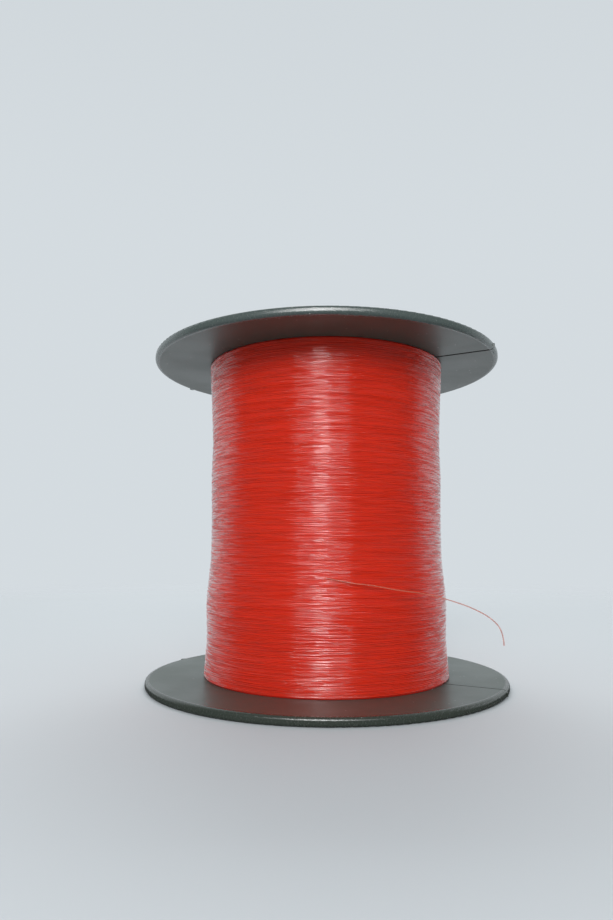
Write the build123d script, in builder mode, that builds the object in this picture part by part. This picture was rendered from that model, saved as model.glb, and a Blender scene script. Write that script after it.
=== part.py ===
"""A plastic reel of fine string, standing on one flange, in millimetres.

Two moulded flanges plug into the ends of a barrel tube.  The string is wound on the
barrel from flange to flange, and its free end leaves the front of the winding.
+Z is the axis of the reel and the origin is the middle of the face it stands on.
"""

import os
from math import isclose, pi, radians, tan

from build123d import *

# Overall sizes
flange_diameter = 100.0
reel_width = 92.0
flange_thickness = 2.2

# Flange details
rim_round = 0.85
bore_diameter = 16.0
bore_chamfer = 0.5
hub_wall = 3.0
hub_depth = 14.0
spigot_depth = 8.0
spigot_wall = 2.0
spigot_chamfer = 0.4
rib_count = 6
rib_thickness = 1.6
recess_depth = 0.35
recess_outer_diameter = 88.0
recess_inner_diameter = 30.0

# Marks that the mould leaves on a flange: a knit line from the barrel to the rim with
# a fleck of flash at its end, and the cut-off gate on the rim across from it
top_knit_angle = -28.0
bottom_knit_angle = -27.0
knit_width = 0.4
knit_depth = 0.25
flash_width = 0.5
flash_height = 1.0
flash_reach = 0.3
gate_width = 1.2
gate_height = 0.9
gate_reach = 0.6
gate_drop = 0.15
mark_root = 0.4

# Barrel
barrel_diameter = 50.0
barrel_wall = 2.0
press_clearance = 0.05

# String and winding
string_diameter = 0.3
pack_end_radius = 34.4
pack_waist_radius = 33.2
pack_waist_height = 40.0
pack_swell_radius = 33.9
pack_swell_height = 21.0
pack_seat_gap = 0.02

# The free end of the string, which leaves the front of the winding towards +X
tail_points = [
    (-0.8, -33.82, 30.15),
    (4.6, -33.88, 28.95),
    (10.4, -33.70, 28.45),
    (16.5, -33.00, 27.20),
    (23.0, -32.00, 26.45),
    (29.4, -30.95, 24.75),
    (35.2, -29.85, 22.75),
    (40.0, -28.85, 20.10),
    (42.6, -28.10, 17.00),
    (42.8, -27.80, 13.70),
]
tail_arc_share = 0.45

flange_radius = flange_diameter / 2
bore_radius = bore_diameter / 2
hub_radius = bore_radius + hub_wall
barrel_radius = barrel_diameter / 2
spigot_radius = barrel_radius - barrel_wall - press_clearance
barrel_bottom = flange_thickness
barrel_top = reel_width - flange_thickness


def make_flange(outer, knit_angle, label):
    """One flange.  The plane outer lies on its outer face and points into the reel."""
    inner_face = outer.offset(flange_thickness)
    knit_direction = Vector(1, 0, 0).rotate(Axis.Z, knit_angle)
    knit = Plane(outer.origin, x_dir=knit_direction, z_dir=outer.z_dir)

    with BuildPart() as flange:
        with BuildSketch(outer):
            Circle(flange_radius)
        extrude(amount=flange_thickness)
        rim = flange.edges().filter_by(GeomType.CIRCLE)
        fillet(rim, min(rim_round, 0.45 * flange_thickness))

        # Shallow recess in the outer face, round the hub
        with BuildSketch(outer):
            Circle(recess_outer_diameter / 2)
            Circle(recess_inner_diameter / 2, mode=Mode.SUBTRACT)
        extrude(amount=recess_depth, mode=Mode.SUBTRACT)

        # Spigot ring that plugs into the barrel
        with BuildSketch(inner_face):
            Circle(spigot_radius)
        extrude(amount=spigot_depth)
        lead_in = flange.edges().filter_by(GeomType.CIRCLE).group_by(
            lambda edge: outer.to_local_coords(edge.center()).Z
        )[-1]
        chamfer(lead_in, spigot_chamfer)
        with BuildSketch(inner_face):
            Circle(spigot_radius - spigot_wall)
        extrude(amount=spigot_depth, mode=Mode.SUBTRACT)

        # Hub, with ribs out to the spigot ring
        with BuildSketch(inner_face):
            Circle(hub_radius)
        extrude(amount=hub_depth - flange_thickness)
        rib_start = (bore_radius + hub_radius) / 2
        rib_end = spigot_radius - spigot_wall / 2
        with BuildSketch(inner_face):
            with PolarLocations((rib_start + rib_end) / 2, rib_count):
                Rectangle(rib_end - rib_start, rib_thickness)
        extrude(amount=spigot_depth - spigot_chamfer)

        # Spindle bore, right through, with a chamfer at its mouth
        with BuildSketch(outer):
            Circle(bore_radius)
        extrude(amount=hub_depth, mode=Mode.SUBTRACT)
        mouths = flange.edges().filter_by(GeomType.CIRCLE).filter_by(
            lambda edge: isclose(edge.radius, bore_radius)
        )
        outer_mouth = mouths.sort_by(
            lambda edge: outer.to_local_coords(edge.center()).Z
        )[0]
        chamfer(outer_mouth, bore_chamfer)

        # Knit line in the inner face
        with BuildSketch(knit.offset(flange_thickness)):
            with Locations(((barrel_radius + flange_radius) / 2, 0)):
                Rectangle(flange_radius - barrel_radius, knit_width)
        extrude(amount=-knit_depth, mode=Mode.SUBTRACT)

        # Flash at the end of the knit line
        with BuildSketch(knit.offset((flange_thickness - flash_height) / 2)):
            with Locations((flange_radius + (flash_reach - mark_root) / 2, 0)):
                Rectangle(flash_reach + mark_root, flash_width)
        extrude(amount=flash_height)

        # Cut-off gate across from it, just short of the inner face
        with BuildSketch(knit.offset(flange_thickness - gate_drop - gate_height)):
            with Locations((-flange_radius - (gate_reach - mark_root) / 2, 0)):
                Rectangle(gate_reach + mark_root, gate_width)
        extrude(amount=gate_height)

    flange.part.label = label
    return flange.part


def make_barrel():
    """Plain tube between the inner faces of the flanges."""
    with BuildPart() as barrel:
        with BuildSketch(Plane.XY.offset(barrel_bottom)):
            Circle(barrel_radius)
            Circle(barrel_radius - barrel_wall, mode=Mode.SUBTRACT)
        extrude(amount=barrel_top - barrel_bottom)
    barrel.part.label = "barrel"
    return barrel.part


def make_winding():
    """The wound string as one body, slightly waisted, with a swell low down."""
    inside = barrel_radius + pack_seat_gap
    with BuildPart() as winding:
        with BuildSketch(Plane.XZ):
            with BuildLine():
                surface = Spline(
                    (pack_end_radius, barrel_top),
                    (pack_waist_radius, pack_waist_height),
                    (pack_swell_radius, pack_swell_height),
                    (pack_end_radius, barrel_bottom),
                )
                Polyline(
                    surface @ 1,
                    (inside, barrel_bottom),
                    (inside, barrel_top),
                    surface @ 0,
                )
            make_face()
        revolve(axis=Axis.Z)
    winding.part.label = "string_winding"
    return winding.part


def tail_radii():
    """The largest arc that each corner of the free end has room for."""
    points = [Vector(*point) for point in tail_points]
    radii = []
    for before, corner, after in zip(points, points[1:], points[2:]):
        arriving = corner - before
        leaving = after - corner
        shorter = min(arriving.length, leaving.length)
        half_turn = radians(arriving.get_angle(leaving)) / 2
        radii.append(tail_arc_share * shorter / tan(half_turn))
    return radii


def make_tail():
    """The free end of the string as a round tube along its route."""
    radii = tail_radii()
    with BuildPart() as tail:
        with BuildLine() as route:
            FilletPolyline(*tail_points, radius=radii)
        path = route.wire()
        with BuildSketch(Plane(path @ 0, z_dir=path % 0)):
            Circle(string_diameter / 2)
        sweep(path=path)
    section = pi * string_diameter**2 / 4
    fullness = tail.part.volume / (section * path.length)
    print("tail length", round(path.length, 2))
    print("tail radii", [round(radius, 1) for radius in radii])
    print("tail volume over section times length", round(fullness, 4))
    tail.part.label = "string_tail"
    return tail.part


bottom_outer = Plane.XY
top_outer = Plane((0, 0, reel_width), x_dir=(1, 0, 0), z_dir=(0, 0, -1))

pieces = [
    make_flange(bottom_outer, bottom_knit_angle, "bottom_flange"),
    make_flange(top_outer, top_knit_angle, "top_flange"),
    make_barrel(),
    make_winding(),
    make_tail(),
]

os.makedirs("parts", exist_ok=True)
for piece in pieces:
    export_step(piece, f"parts/{piece.label}.step")
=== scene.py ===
"""Finished looks of the string reel: satin black flanges, the wound red string and its
loose end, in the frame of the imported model."""

import math

import bpy
import numpy as np
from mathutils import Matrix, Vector


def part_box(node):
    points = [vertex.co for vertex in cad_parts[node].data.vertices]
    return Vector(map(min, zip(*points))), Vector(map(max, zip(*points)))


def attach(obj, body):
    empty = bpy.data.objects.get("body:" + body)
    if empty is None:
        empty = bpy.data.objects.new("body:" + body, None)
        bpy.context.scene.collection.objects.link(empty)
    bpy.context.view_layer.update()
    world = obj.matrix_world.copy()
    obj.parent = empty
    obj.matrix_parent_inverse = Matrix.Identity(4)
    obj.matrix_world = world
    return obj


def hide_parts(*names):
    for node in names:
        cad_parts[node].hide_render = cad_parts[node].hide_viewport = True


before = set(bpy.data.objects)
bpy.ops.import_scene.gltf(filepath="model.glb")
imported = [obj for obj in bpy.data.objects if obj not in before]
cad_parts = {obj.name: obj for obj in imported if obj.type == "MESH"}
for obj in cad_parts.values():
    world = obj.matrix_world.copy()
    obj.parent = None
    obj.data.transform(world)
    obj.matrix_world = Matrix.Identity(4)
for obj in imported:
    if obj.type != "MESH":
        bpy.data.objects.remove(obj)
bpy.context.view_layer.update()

MM = 0.001
STRING_DIAMETER = 0.3 * MM

pack_low, pack_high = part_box("string_winding")
PACK_BOTTOM, PACK_TOP = pack_low.z, pack_high.z
flange_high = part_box("top_flange")[1]
FLANGE_RADIUS, REEL_MIDDLE = flange_high.y, flange_high.z / 2
INNER_FACE = (PACK_TOP - PACK_BOTTOM) / 2   # how far an inner face is from the middle


# ---------------------------------------------------------------- node helpers

def new_group(name, inputs, outputs):
    """An empty shader group with the given (name, socket type, default) inputs."""
    group = bpy.data.node_groups.new(name, "ShaderNodeTree")
    for label, kind, value in inputs:
        socket = group.interface.new_socket(label, in_out="INPUT", socket_type=kind)
        socket.default_value = value
    for label, kind in outputs:
        group.interface.new_socket(label, in_out="OUTPUT", socket_type=kind)
    group.nodes.new("NodeGroupInput").name = "in"
    group.nodes.new("NodeGroupOutput").name = "out"
    return group


def add(tree, kind, values=None, **settings):
    """A node with its settings, and with numbers or links on its inputs."""
    node = tree.nodes.new(kind)
    for key, value in settings.items():
        setattr(node, key, value)
    for key, value in (values or {}).items():
        if isinstance(value, bpy.types.NodeSocket):
            tree.links.new(value, node.inputs[key])
        else:
            node.inputs[key].default_value = value
    return node


def math_node(tree, operation, a, b=0.0):
    """The result of an operation on one or two values."""
    return add(tree, "ShaderNodeMath", {0: a, 1: b}, operation=operation).outputs[0]


def ramp(tree, value, low, high, to_low=0.0, to_high=1.0):
    """Value mapped smoothly from low..high to to_low..to_high."""
    return add(tree, "ShaderNodeMapRange",
               {"Value": value, "From Min": low, "From Max": high,
                "To Min": to_low, "To Max": to_high},
               interpolation_type="SMOOTHSTEP").outputs["Result"]


def over_noise(tree, noise, to_low=0.0, to_high=1.0):
    """A noise mapped to to_low..to_high over the range that most of its values lie in."""
    return ramp(tree, noise, 0.3, 0.7, to_low, to_high)


def mix_colour(tree, factor, a, b):
    """Colour a where factor is 0, and colour b where it is 1."""
    node = tree.nodes.new("ShaderNodeMix")
    node.data_type = "RGBA"
    for key, value in ((0, factor), (6, a), (7, b)):
        if isinstance(value, bpy.types.NodeSocket):
            tree.links.new(value, node.inputs[key])
        else:
            node.inputs[key].default_value = value
    return node.outputs[2]


def noise_of(tree, position, scale, detail=2.0, roughness=0.5, output="Fac"):
    """A noise about 0.5, as a number or, with output="Color", as three at once."""
    return add(tree, "ShaderNodeTexNoise",
               {"Vector": position, "Scale": scale, "Detail": detail,
                "Roughness": roughness}).outputs[output]


def group_node(tree, group, **values):
    """A group placed in a material, with its own values on the group's inputs."""
    node = tree.nodes.new("ShaderNodeGroup")
    node.node_tree = group
    for key, value in values.items():
        label = key.replace("_", " ")
        if isinstance(value, bpy.types.NodeSocket):
            tree.links.new(value, node.inputs[label])
        else:
            node.inputs[label].default_value = value
    return node


def new_material(name):
    """A material with one Principled shader: returns it, its tree and the shader."""
    material = bpy.data.materials.new(name)
    material.use_nodes = True
    tree = material.node_tree
    return material, tree, tree.nodes["Principled BSDF"]


def bump(tree, height, distance, strength=1.0):
    return add(tree, "ShaderNodeBump",
               {"Height": height, "Distance": distance, "Strength": strength}
               ).outputs["Normal"]


# ---------------------------------------------------------------- shared effects

def make_grain():
    """Spark-eroded grain of moulded plastic, with long soft flow patches."""
    group = new_group(
        "moulded_grain",
        [("Grain Scale", "NodeSocketFloat", 2600.0),
         ("Patch Scale", "NodeSocketFloat", 60.0)],
        [("Height", "NodeSocketFloat"), ("Patch", "NodeSocketFloat")],
    )
    place = add(group, "ShaderNodeTexCoord").outputs["Object"]
    source = group.nodes["in"].outputs
    fine = noise_of(group, place, source["Grain Scale"], 3.0, 0.6)
    patch = noise_of(group, place, source["Patch Scale"], 3.0, 0.55)
    out = group.nodes["out"]
    group.links.new(fine, out.inputs["Height"])
    group.links.new(patch, out.inputs["Patch"])
    return group


def make_dust():
    """Mask of small pale specks of dust, thicker in some places than in others."""
    group = new_group(
        "dust",
        [("Amount", "NodeSocketFloat", 0.5), ("Cell Scale", "NodeSocketFloat", 500.0)],
        [("Mask", "NodeSocketFloat")],
    )
    place = add(group, "ShaderNodeTexCoord").outputs["Object"]
    source = group.nodes["in"].outputs
    cells = add(group, "ShaderNodeTexVoronoi",
                {"Vector": place, "Scale": source["Cell Scale"], "Randomness": 1.0})
    chance = add(group, "ShaderNodeSeparateColor",
                 {"Color": cells.outputs["Color"]}).outputs["Red"]
    patch = ramp(group, noise_of(group, place, 70.0, 2.0), 0.4, 0.65)
    share = math_node(group, "MULTIPLY", source["Amount"], patch)
    chosen = math_node(group, "LESS_THAN", chance, share)
    speck = ramp(group, cells.outputs["Distance"], 0.10, 0.17, 1.0, 0.0)
    mask = math_node(group, "MULTIPLY", chosen, speck)
    group.links.new(mask, group.nodes["out"].inputs["Mask"])
    return group


def make_along_turns():
    """Streaks that run with the turns of string.

    Spacing is about how far apart the streaks are, and Run about how long they are.
    Tone is a soft change from one bundle of turns to the next.  Normal is the surface
    normal, swung a little round the axis of the reel, as on turns that aren't quite round.
    """
    group = new_group(
        "along_turns",
        [("Spacing", "NodeSocketFloat", 0.0008), ("Run", "NodeSocketFloat", 0.012),
         ("Swing", "NodeSocketFloat", 0.1)],
        [("Streak", "NodeSocketFloat"), ("Tone", "NodeSocketFloat"),
         ("Normal", "NodeSocketVector")],
    )
    place = add(group, "ShaderNodeTexCoord").outputs["Object"]
    source = group.nodes["in"].outputs
    parts = add(group, "ShaderNodeSeparateXYZ", {"Vector": place}).outputs
    across = math_node(group, "DIVIDE", parts["Z"], source["Spacing"])
    round_x = math_node(group, "DIVIDE", parts["X"], source["Run"])
    round_y = math_node(group, "DIVIDE", parts["Y"], source["Run"])
    stretched = add(group, "ShaderNodeCombineXYZ",
                    {"X": round_x, "Y": round_y, "Z": across}).outputs["Vector"]
    speckle = noise_of(group, stretched, 1.0, 2.0, 0.65, output="Color")
    speckle = add(group, "ShaderNodeSeparateColor", {"Color": speckle}).outputs
    tone = noise_of(group, stretched, 0.37, 2.0, 0.5)
    normal = add(group, "ShaderNodeNewGeometry").outputs["Normal"]
    back = math_node(group, "MULTIPLY", parts["Y"], -1.0)
    tangent = add(group, "ShaderNodeCombineXYZ",
                  {"X": back, "Y": parts["X"]}).outputs["Vector"]
    tangent = add(group, "ShaderNodeVectorMath", {0: tangent},
                  operation="NORMALIZE").outputs["Vector"]
    centred = math_node(group, "SUBTRACT", speckle["Green"], 0.5)
    swing = math_node(group, "MULTIPLY", centred, source["Swing"])
    push = add(group, "ShaderNodeVectorMath", {0: tangent, "Scale": swing},
               operation="SCALE").outputs["Vector"]
    swung = add(group, "ShaderNodeVectorMath", {0: normal, 1: push},
                operation="ADD").outputs["Vector"]
    swung = add(group, "ShaderNodeVectorMath", {0: swung},
                operation="NORMALIZE").outputs["Vector"]
    out = group.nodes["out"]
    group.links.new(speckle["Red"], out.inputs["Streak"])
    group.links.new(tone, out.inputs["Tone"])
    group.links.new(swung, out.inputs["Normal"])
    return group


def make_knit_line():
    """Mask of the radial line where the plastic met again past the bore.

    It is fainter on the outer faces, which the groove doesn't reach.  The flange paints the
    groove's shade along it, and the line's own darker tone on the outer faces.  Angle is
    where the line runs to the rim, in radians from +X about the reel's axis.
    """
    groove_end, outside = INNER_FACE + 0.4 * MM, INNER_FACE + 1.4 * MM
    share_outside = 0.25
    group = new_group(
        "knit_line",
        [("Angle", "NodeSocketFloat", 0.0), ("Half Width", "NodeSocketFloat", 0.0002)],
        [("Line", "NodeSocketFloat")],
    )
    source = group.nodes["in"].outputs
    place = add(group, "ShaderNodeTexCoord").outputs["Object"]
    parts = add(group, "ShaderNodeSeparateXYZ", {"Vector": place}).outputs
    cosine = math_node(group, "COSINE", source["Angle"])
    sine = math_node(group, "SINE", source["Angle"])
    along = math_node(group, "ADD", math_node(group, "MULTIPLY", parts["X"], cosine),
                      math_node(group, "MULTIPLY", parts["Y"], sine))
    across = math_node(group, "SUBTRACT", math_node(group, "MULTIPLY", parts["Y"], cosine),
                       math_node(group, "MULTIPLY", parts["X"], sine))
    aside = math_node(group, "DIVIDE", math_node(group, "ABSOLUTE", across),
                      source["Half Width"])
    near = ramp(group, aside, 0.7, 1.3, 1.0, 0.0)
    outward = math_node(group, "GREATER_THAN", along, 0.0)
    line = math_node(group, "MULTIPLY", near, outward)
    above = math_node(group, "SUBTRACT", parts["Z"], REEL_MIDDLE)
    share = ramp(group, math_node(group, "ABSOLUTE", above), groove_end, outside,
                 1.0, share_outside)
    line = math_node(group, "MULTIPLY", line, share)
    group.links.new(line, group.nodes["out"].inputs["Line"])
    return group


def make_rim():
    """Mask that is 1 outside the given radius about the reel's axis."""
    half_blend = 0.2 * MM
    group = new_group("rim", [("Radius", "NodeSocketFloat", 0.05)],
                      [("Mask", "NodeSocketFloat")])
    place = add(group, "ShaderNodeTexCoord").outputs["Object"]
    flat = add(group, "ShaderNodeVectorMath", {0: place, 1: (1.0, 1.0, 0.0)},
               operation="MULTIPLY").outputs["Vector"]
    away = add(group, "ShaderNodeVectorMath", {0: flat},
               operation="LENGTH").outputs["Value"]
    past = math_node(group, "SUBTRACT", away, group.nodes["in"].outputs["Radius"])
    mask = ramp(group, past, -half_blend, half_blend)
    group.links.new(mask, group.nodes["out"].inputs["Mask"])
    return group


GRAIN = make_grain()
DUST = make_dust()
RIM = make_rim()
KNIT_LINE = make_knit_line()
ALONG_TURNS = make_along_turns()


# ---------------------------------------------------------------- materials

def flange_plastic(name, rim_light_and_shade, knit_angle, knit_half_width, knit_tone_and_shade):
    """Satin black-green plastic: a grained face, a rubbed rim and the knit line.

    The rim tone is painted light on a rim paler than the face and painted shade on a darker
    one.
    The knit line's angle is in degrees, and its tone and shade is how dark it goes on the
    face:
    painted shade in the line's groove, and the line's own darker tone outside it.
    """
    dark, pale = (0.037, 0.052, 0.042, 1.0), (0.054, 0.074, 0.061, 1.0)
    line_tone_and_groove_shade = (0.009, 0.011, 0.009, 1.0)
    dust_grey = (0.45, 0.46, 0.44, 1.0)
    strength_on_rim = 0.2
    material, tree, shader = new_material(name)
    grain = group_node(tree, GRAIN, Grain_Scale=2600.0, Patch_Scale=55.0).outputs
    dust = group_node(tree, DUST, Amount=0.13, Cell_Scale=1000.0).outputs["Mask"]
    rim = group_node(tree, RIM, Radius=FLANGE_RADIUS - 1.1 * MM).outputs["Mask"]
    line = group_node(tree, KNIT_LINE, Angle=math.radians(knit_angle),
                      Half_Width=knit_half_width).outputs["Line"]
    strength = ramp(tree, rim, 0.0, 1.0, knit_tone_and_shade, strength_on_rim)
    line = math_node(tree, "MULTIPLY", line, strength)
    body = mix_colour(tree, grain["Patch"], dark, pale)
    # Painted light and shade on the rim: paler on the top flange, where the rim catches the
    # light from above, and darker on the bottom flange, which is in shade.
    body = mix_colour(tree, rim, body, rim_light_and_shade)
    # Painted shade along the knit line's groove, with a fainter dark tone of the line
    # itself on the outer faces.
    body = mix_colour(tree, line, body, line_tone_and_groove_shade)
    colour = mix_colour(tree, dust, body, dust_grey)
    tree.links.new(colour, shader.inputs["Base Color"])
    rough = over_noise(tree, grain["Patch"], 0.34, 0.42)
    rubbed = over_noise(tree, grain["Height"], 0.15, 0.30)
    rough = add(tree, "ShaderNodeMix", {0: rim, 2: rough, 3: rubbed}).outputs[0]
    rough = math_node(tree, "MAXIMUM", rough, line)
    tree.links.new(rough, shader.inputs["Roughness"])
    depth = ramp(tree, rim, 0.0, 1.0, 0.5, 1.6)
    height = math_node(tree, "MULTIPLY", grain["Height"], depth)
    tree.links.new(bump(tree, height, 0.07 * MM, 0.5), shader.inputs["Normal"])
    shader.inputs["IOR"].default_value = 1.7
    return material


def barrel_plastic():
    """Plain dark plastic of the tube that the string hides."""
    material, tree, shader = new_material("barrel_plastic")
    grain = group_node(tree, GRAIN, Grain_Scale=1500.0, Patch_Scale=40.0).outputs
    body = mix_colour(tree, grain["Patch"], (0.024, 0.024, 0.024, 1.0),
                      (0.040, 0.040, 0.041, 1.0))
    tree.links.new(body, shader.inputs["Base Color"])
    rough = over_noise(tree, grain["Patch"], 0.50, 0.62)
    tree.links.new(rough, shader.inputs["Roughness"])
    tree.links.new(bump(tree, grain["Height"], 0.08 * MM, 0.4), shader.inputs["Normal"])
    return material


def string_red(name, dark, bright, swing, gloss, alpha=1.0):
    """Glossy red nylon.  Swing is how far the shine wanders round the reel, and gloss is
    how strongly the bright streaks stand out."""
    streak_starts, streak_full = 0.47, 0.56
    material, tree, shader = new_material(name)
    turns = group_node(tree, ALONG_TURNS, Spacing=0.4 * MM, Run=8.0 * MM,
                       Swing=swing).outputs
    body = mix_colour(tree, over_noise(tree, turns["Tone"]), dark, bright)
    tree.links.new(body, shader.inputs["Base Color"])
    rough = over_noise(tree, turns["Tone"], 0.12, 0.20)
    tree.links.new(rough, shader.inputs["Roughness"])
    shine = ramp(tree, turns["Streak"], streak_starts, streak_full, 0.0, gloss)
    tree.links.new(shine, shader.inputs["Coat Weight"])
    tree.links.new(turns["Normal"], shader.inputs["Normal"])
    for socket, value in (("IOR", 1.53), ("Specular IOR Level", 0.7), ("Coat IOR", 2.0),
                          ("Coat Roughness", 0.08), ("Alpha", alpha)):
        shader.inputs[socket].default_value = value
    return material


# Rim tone paler than the face: painted light, as where the top rim catches the light from
# above.
TOP_FLANGE_PLASTIC = flange_plastic("top_flange_plastic", (0.066, 0.084, 0.079, 1.0),
                                    knit_angle=-28.0, knit_half_width=0.55 * MM,
                                    knit_tone_and_shade=0.85)
# Rim tone darker than the face: painted shade on the bottom rim.
BOTTOM_FLANGE_PLASTIC = flange_plastic("bottom_flange_plastic", (0.034, 0.042, 0.034, 1.0),
                                       knit_angle=-27.0, knit_half_width=0.30 * MM,
                                       knit_tone_and_shade=0.70)
BARREL_PLASTIC = barrel_plastic()
STRING_RED = string_red("string_red", (0.54, 0.021, 0.0065, 1.0),
                        (0.59, 0.024, 0.0075, 1.0), swing=0.7, gloss=1.0)
# Painted shade: the turns under the outer layer, seen only between the outer turns, are the
# same red string painted darker.
STRING_INNER_SHADED = string_red("string_inner_shaded", (0.48, 0.014, 0.006, 1.0),
                          (0.53, 0.016, 0.007, 1.0), swing=0.3, gloss=0.0)
# Painted light: the loose end is the same red string painted paler and more orange, as
# where it catches the light against the pack.
STRING_END_LIT = string_red("string_end_lit", (0.57, 0.150, 0.095, 1.0),
                        (0.62, 0.170, 0.105, 1.0), swing=0.0, gloss=0.3, alpha=0.45)


# ---------------------------------------------------------------- wound string

def string_mesh(name, points, faces, material):
    """A smooth mesh of string from its points and faces, riding on the reel."""
    mesh = bpy.data.meshes.new(name)
    mesh.from_pydata([tuple(point) for point in points], [], faces)
    mesh.materials.append(material)
    mesh.polygons.foreach_set("use_smooth", [True] * len(mesh.polygons))
    mesh.update()
    piece = bpy.data.objects.new(name, mesh)
    bpy.context.scene.collection.objects.link(piece)
    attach(piece, "root")
    return piece


def rolling(seed, count, round_range, along_range):
    """A smooth random field on the pack: waves that close round it.

    Each wave goes a whole number of times round, within round_range, and its length up
    the reel lies within along_range.
    """
    draw = np.random.default_rng(seed)
    rounds = draw.integers(round_range[0], round_range[1] + 1, count)
    signs = draw.choice([-1.0, 1.0], count)
    lengths = np.exp(draw.uniform(np.log(along_range[0]), np.log(along_range[1]), count))
    phases = draw.uniform(0.0, 2 * math.pi, count)
    return rounds * signs, 2 * math.pi / lengths, phases


def field(waves, angle, height):
    """The field's value, about one in size, at each angle and height."""
    total = np.zeros_like(angle)
    for turns, rate, phase in zip(*waves):
        total += np.cos(turns * angle + rate * height + phase)
    return total / math.sqrt(len(waves[0]) / 2)


PACK_OUTLINE = [    # height and radius in mm: unevenly filled, with a narrow waist
    (2.2, 34.40),
    (6.5, 34.10),
    (12.0, 33.75),
    (17.0, 33.90),
    (22.5, 34.05),
    (28.5, 33.60),
    (34.0, 33.15),
    (41.0, 33.10),
    (48.0, 33.15),
    (57.0, 33.35),
    (66.0, 33.20),
    (78.0, 33.65),
    (89.8, 34.35),
]


def pack_radius(height):
    """Outer radius of the pack: a smooth curve through the points of its outline."""
    knots, radii = np.array(PACK_OUTLINE).T
    slopes = np.gradient(radii, knots)
    place = np.clip(np.asarray(height) / MM, knots[0], knots[-1])
    index = np.clip(np.searchsorted(knots, place) - 1, 0, len(knots) - 2)
    step = knots[index + 1] - knots[index]
    t = (place - knots[index]) / step
    radius = ((2 * t ** 3 - 3 * t ** 2 + 1) * radii[index]
              + (t ** 3 - 2 * t ** 2 + t) * step * slopes[index]
              + (3 * t ** 2 - 2 * t ** 3) * radii[index + 1]
              + (t ** 3 - t ** 2) * step * slopes[index + 1])
    return radius * MM


def wound_layer(name, material, pitch, steps, sides, seed, wander, lift):
    """The outer layer of the pack: a single tube that winds from flange to flange.

    It has the given steps in each turn and sides round the string.  Wander is how far the
    turns stray up and down, and lift how far they stray in and out.
    """
    most_drift, most_rise = 1.6, 1.5    # the random fields are cut off at these sizes
    settle = 1.5 * MM                   # the turns run straight this near a flange
    string_radius = STRING_DIAMETER / 2
    low = PACK_BOTTOM + string_radius + wander
    high = PACK_TOP - string_radius - wander
    count = int((high - low) / pitch) * steps
    done = np.arange(count + 1) / steps
    angle = 2 * math.pi * done
    height = low + pitch * done
    drift = field(rolling(seed, 40, (1, 14), (0.7 * MM, 4.0 * MM)), angle, height)
    rise = field(rolling(seed + 1, 40, (1, 12), (0.6 * MM, 3.0 * MM)), angle, height)
    ease = np.clip(np.minimum(height - low, high - height) / settle, 0.0, 1.0)
    height = height + wander * np.clip(drift, -most_drift, most_drift) * 0.6 * ease
    radius = (pack_radius(height) - string_radius
              + lift * (np.clip(rise, -most_rise, most_rise) - most_rise) / most_rise)
    outward = np.stack([np.cos(angle), np.sin(angle), np.zeros_like(angle)], 1)
    centre = outward * radius[:, None]
    centre[:, 2] = height
    points = []
    for side in range(sides):
        turn = 2 * math.pi * side / sides
        ring = centre + outward * (string_radius * math.cos(turn))
        ring[:, 2] += string_radius * math.sin(turn)
        points.append(ring)
    points = np.stack(points, 1).reshape(-1, 3)
    start = np.arange(count)[:, None] * sides
    side = np.arange(sides)[None, :]
    after = (side + 1) % sides
    quads = np.stack([start + side, start + sides + side,
                      start + sides + after, start + after], 2).reshape(-1, 4)
    faces = quads.tolist()
    faces.append(list(range(sides)))
    faces.append(list(range(count * sides, (count + 1) * sides))[::-1])
    return string_mesh(name, points, faces, material)


def pack_core(name, material, depth):
    """The turns below the outer layer, as one closed ring on the barrel."""
    end_gap, barrel_gap = 0.02 * MM, 0.05 * MM
    around, rows = 128, 160
    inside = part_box("barrel")[1].x + barrel_gap
    heights = np.linspace(PACK_BOTTOM + end_gap, PACK_TOP - end_gap, rows)
    profile = [(radius, height) for radius, height
               in zip(pack_radius(heights) - depth, heights)]
    profile += [(inside, heights[-1]), (inside, heights[0])]
    angles = np.linspace(0.0, 2 * math.pi, around, endpoint=False)
    points = [(r * math.cos(a), r * math.sin(a), z) for a in angles for r, z in profile]
    size = len(profile)
    faces = []
    for j in range(around):
        here, there = j * size, (j + 1) % around * size
        for i in range(size):
            after = (i + 1) % size
            faces.append((here + i, there + i, there + after, here + after))
    return string_mesh(name, points, faces, material)


wound_layer("outer_turns", STRING_RED, pitch=0.302 * MM, steps=96, sides=5, seed=11,
            wander=0.10 * MM, lift=0.05 * MM)
core = pack_core("inner_turns", STRING_INNER_SHADED, depth=0.17 * MM)
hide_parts("string_winding")


# ---------------------------------------------------------------- free end

TAIL_ROUTE = [      # in mm, out of the pack and along
    (-0.8, -33.82, 30.15),
    (4.6, -33.88, 28.95),
    (10.4, -33.70, 28.45),
    (16.5, -33.00, 27.20),
    (23.0, -32.00, 26.45),
    (29.4, -30.95, 24.75),
    (35.2, -29.85, 22.75),
    (40.0, -28.85, 20.10),
    (42.6, -28.10, 17.00),
    (42.8, -27.80, 13.70),
]


def free_end():
    """The loose end of the string, which springs away from the pack."""
    curve = bpy.data.curves.new("free_end", "CURVE")
    curve.dimensions = "3D"
    curve.bevel_depth = STRING_DIAMETER / 2
    curve.bevel_resolution = 3
    curve.use_fill_caps = True
    curve.resolution_u = 16
    line = curve.splines.new("NURBS")
    line.points.add(len(TAIL_ROUTE) - 1)
    for point, place in zip(line.points, TAIL_ROUTE):
        point.co = (place[0] * MM, place[1] * MM, place[2] * MM, 1.0)
    line.order_u = 3
    line.use_endpoint_u = True
    curve.materials.append(STRING_END_LIT)
    piece = bpy.data.objects.new("free_end", curve)
    bpy.context.scene.collection.objects.link(piece)
    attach(piece, "root")
    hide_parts("string_tail")


free_end()


# ---------------------------------------------------------------- plastic parts

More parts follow.
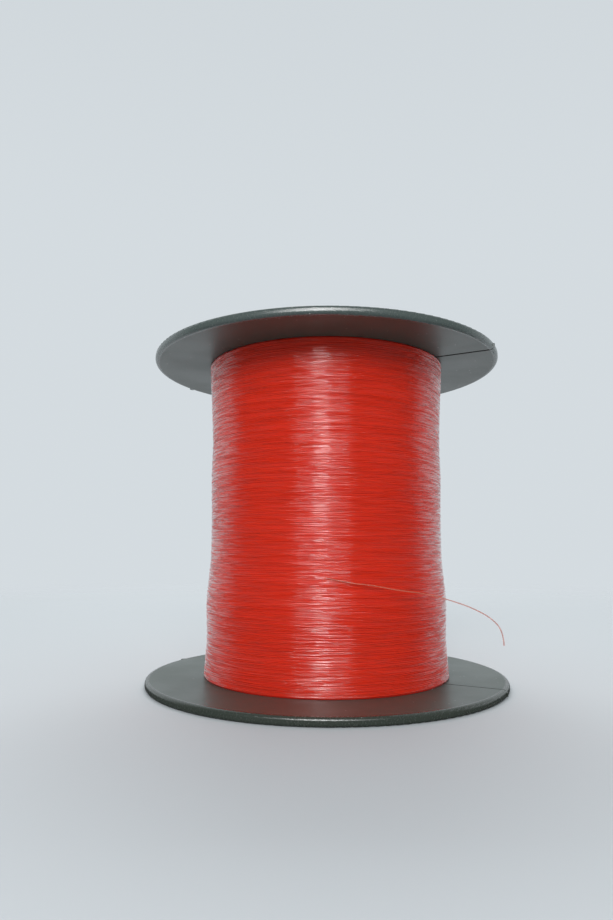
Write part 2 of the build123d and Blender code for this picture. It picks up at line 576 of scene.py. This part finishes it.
for node, material in (("top_flange", TOP_FLANGE_PLASTIC),
                       ("bottom_flange", BOTTOM_FLANGE_PLASTIC),
                       ("barrel", BARREL_PLASTIC)):
    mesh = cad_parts[node].data
    mesh.materials.clear()
    mesh.materials.append(material)


# ---------------------------------------------------------------- floor, light, camera

BACKGROUND = (0.66, 0.71, 0.745, 1.0)
ROOM_DIM = 0.10     # how bright the room in front looks in the gloss of the reel


def floor_material():
    """Pale matt material that fades into the background away from the reel.

    Gloss on the reel sees it pale behind the reel and dark in front, as a table would
    look that stands with its back to a white wall and its front to a dim room.
    """
    material, tree, shader = new_material("floor")
    shader.inputs["Base Color"].default_value = (0.50, 0.535, 0.555, 1.0)
    shader.inputs["Roughness"].default_value = 0.9
    place = add(tree, "ShaderNodeTexCoord").outputs["Object"]
    away = add(tree, "ShaderNodeVectorMath", {0: place}, operation="LENGTH")
    fade = ramp(tree, away.outputs["Value"], 0.18, 0.55)
    clear = tree.nodes.new("ShaderNodeBsdfTransparent")
    seen = add(tree, "ShaderNodeMixShader",
               {0: fade, 1: shader.outputs[0], 2: clear.outputs[0]})
    depth = add(tree, "ShaderNodeSeparateXYZ", {"Vector": place}).outputs["Y"]
    behind = ramp(tree, depth, -0.02, 0.08, ROOM_DIM, 1.0)
    mirrored = add(tree, "ShaderNodeEmission",
                   {"Color": BACKGROUND, "Strength": behind})
    path = tree.nodes.new("ShaderNodeLightPath")
    mixed = add(tree, "ShaderNodeMixShader",
                {0: path.outputs["Is Glossy Ray"], 1: seen.outputs[0],
                 2: mirrored.outputs[0]})
    tree.links.new(mixed.outputs[0], tree.nodes["Material Output"].inputs["Surface"])
    return material


def floor():
    """The table that the reel stands on, out to where it has faded away."""
    half = 1.2
    corners = [(-half, -half, 0), (half, -half, 0), (half, half, 0), (-half, half, 0)]
    mesh = bpy.data.meshes.new("floor")
    mesh.from_pydata(corners, [], [(0, 1, 2, 3)])
    mesh.materials.append(floor_material())
    piece = bpy.data.objects.new("floor", mesh)
    bpy.context.scene.collection.objects.link(piece)


def at_bearing(bearing, elevation, distance):
    """A place round the reel: bearing in degrees to the right of -Y."""
    turn, rise = math.radians(bearing), math.radians(elevation)
    return Vector((distance * math.cos(rise) * math.sin(turn),
                   -distance * math.cos(rise) * math.cos(turn),
                   REEL_MIDDLE + distance * math.sin(rise)))


def soft_light(name, place, size, power):
    """An area lamp that faces the middle of the reel: size in metres, power in watts."""
    lamp = bpy.data.lights.new(name, "AREA")
    lamp.shape = "RECTANGLE"
    lamp.size, lamp.size_y = size
    lamp.energy = power
    piece = bpy.data.objects.new(name, lamp)
    piece.location = place
    towards = Vector((0.0, 0.0, REEL_MIDDLE)) - place
    piece.rotation_euler = towards.to_track_quat("-Z", "Y").to_euler()
    bpy.context.scene.collection.objects.link(piece)
    return piece


def studio():
    """A pale, even backdrop, with the light of a window in front and above."""
    world = bpy.data.worlds.new("studio")
    world.use_nodes = True
    tree = world.node_tree
    tree.nodes.clear()
    direction = add(tree, "ShaderNodeTexCoord").outputs["Generated"]
    direction = add(tree, "ShaderNodeSeparateXYZ", {"Vector": direction}).outputs
    depth, height = direction["Y"], direction["Z"]
    seen = add(tree, "ShaderNodeBackground",
               {"Color": BACKGROUND, "Strength": ramp(tree, height, 0.40, 0.80, 1.0, 0.95)})
    light = add(tree, "ShaderNodeBackground",
                {"Color": (0.93, 0.97, 1.0, 1.0),
                 "Strength": ramp(tree, depth, -0.4, 0.6, 0.50, 0.78)})
    mirrored = add(tree, "ShaderNodeBackground",
                   {"Color": BACKGROUND,
                    "Strength": ramp(tree, depth, 0.02, 0.5, ROOM_DIM, 1.0)})
    path = tree.nodes.new("ShaderNodeLightPath")
    gloss = add(tree, "ShaderNodeMixShader",
                {0: path.outputs["Is Glossy Ray"], 1: light.outputs[0],
                 2: mirrored.outputs[0]})
    mixed = add(tree, "ShaderNodeMixShader",
                {0: path.outputs["Is Camera Ray"], 1: gloss.outputs[0],
                 2: seen.outputs[0]})
    out = tree.nodes.new("ShaderNodeOutputWorld")
    tree.links.new(mixed.outputs[0], out.inputs["Surface"])
    bpy.context.scene.world = world
    soft_light("window", at_bearing(-5.0, 23.0, 0.90), (0.80, 0.22), 3.6)
    soft_light("bright_pane", at_bearing(-6.0, 25.0, 0.80), (0.19, 0.40), 2.3)
    back = soft_light("back_light", at_bearing(180.0, 52.0, 0.90), (0.60, 0.40), 5.0)
    back.visible_glossy = False


def front_camera():
    """Close in front of the reel, looking a little up at it."""
    lens = bpy.data.cameras.new("camera")
    lens.sensor_fit = "HORIZONTAL"
    lens.sensor_width = 36.0
    lens.lens = 38.47
    lens.clip_start = 0.01
    piece = bpy.data.objects.new("camera", lens)
    piece.location = (-0.00557, -0.1925, 0.03755)
    piece.rotation_euler = (math.radians(97.54), math.radians(-0.14), 0.0)
    bpy.context.scene.collection.objects.link(piece)
    bpy.context.scene.camera = piece


floor()
studio()
front_camera()

bpy.context.scene.view_settings.view_transform = "Standard"
